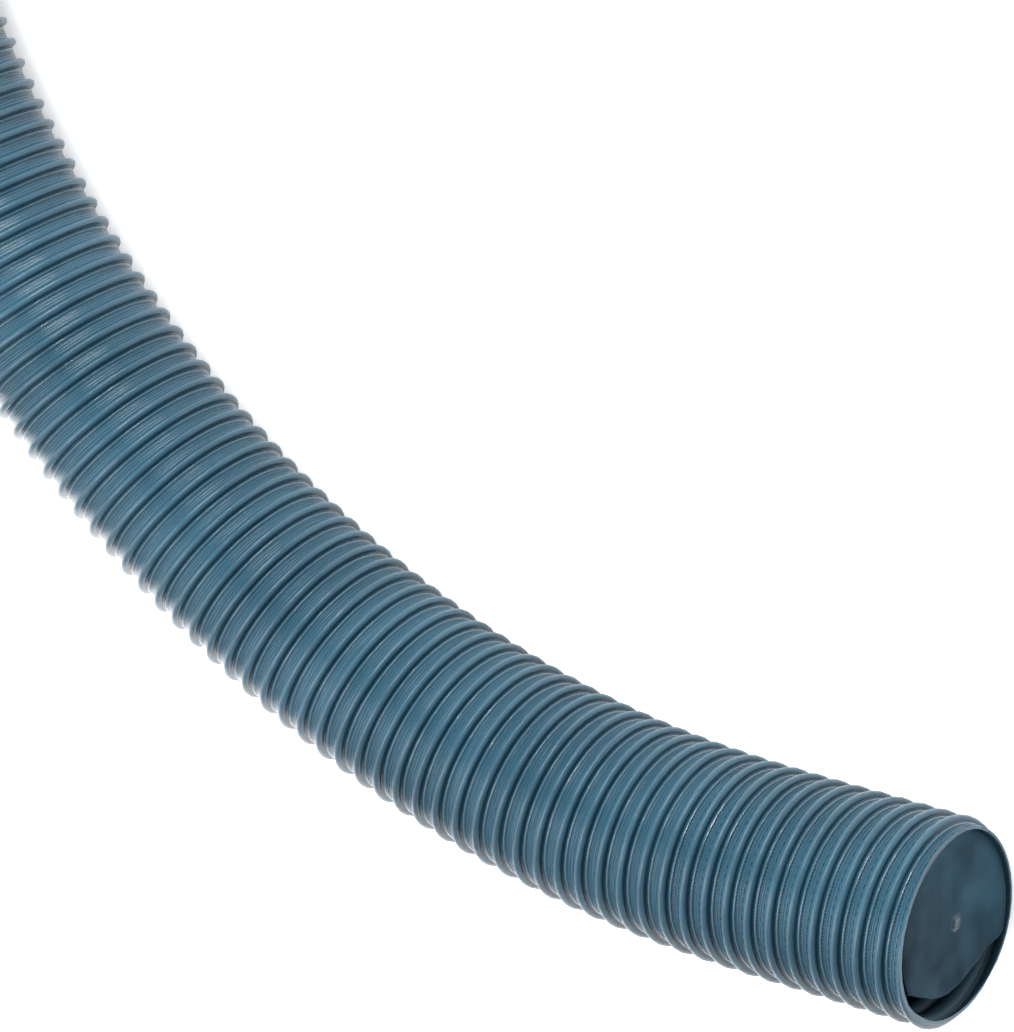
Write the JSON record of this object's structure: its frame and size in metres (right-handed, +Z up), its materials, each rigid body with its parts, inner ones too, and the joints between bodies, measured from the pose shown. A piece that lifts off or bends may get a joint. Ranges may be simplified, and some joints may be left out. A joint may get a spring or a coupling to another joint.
{
  "type": "blower duct hose",
  "caption": "Spiral-wound plastic duct hose with a raised helical bead, lying in a level bend, with a thin dished disc just inside its open end.",
  "frame": {"origin": "on the floor, under the middle of the hose's outline", "axes": "+Z up; +X out of the open end that holds the disc; +Y along the far straight stretch, out of the far end"},
  "size_m": [0.805, 1.0998, 0.1124],
  "materials": {
    "duct_plastic": "satin blue-grey moulded plastic",
    "disc_plastic": "soft-sheen dark blue-grey plastic"
  },
  "bodies": {
    "root": {"duct_hose": "duct_plastic", "end_disc": "disc_plastic"}
  },
  "joints": []
}
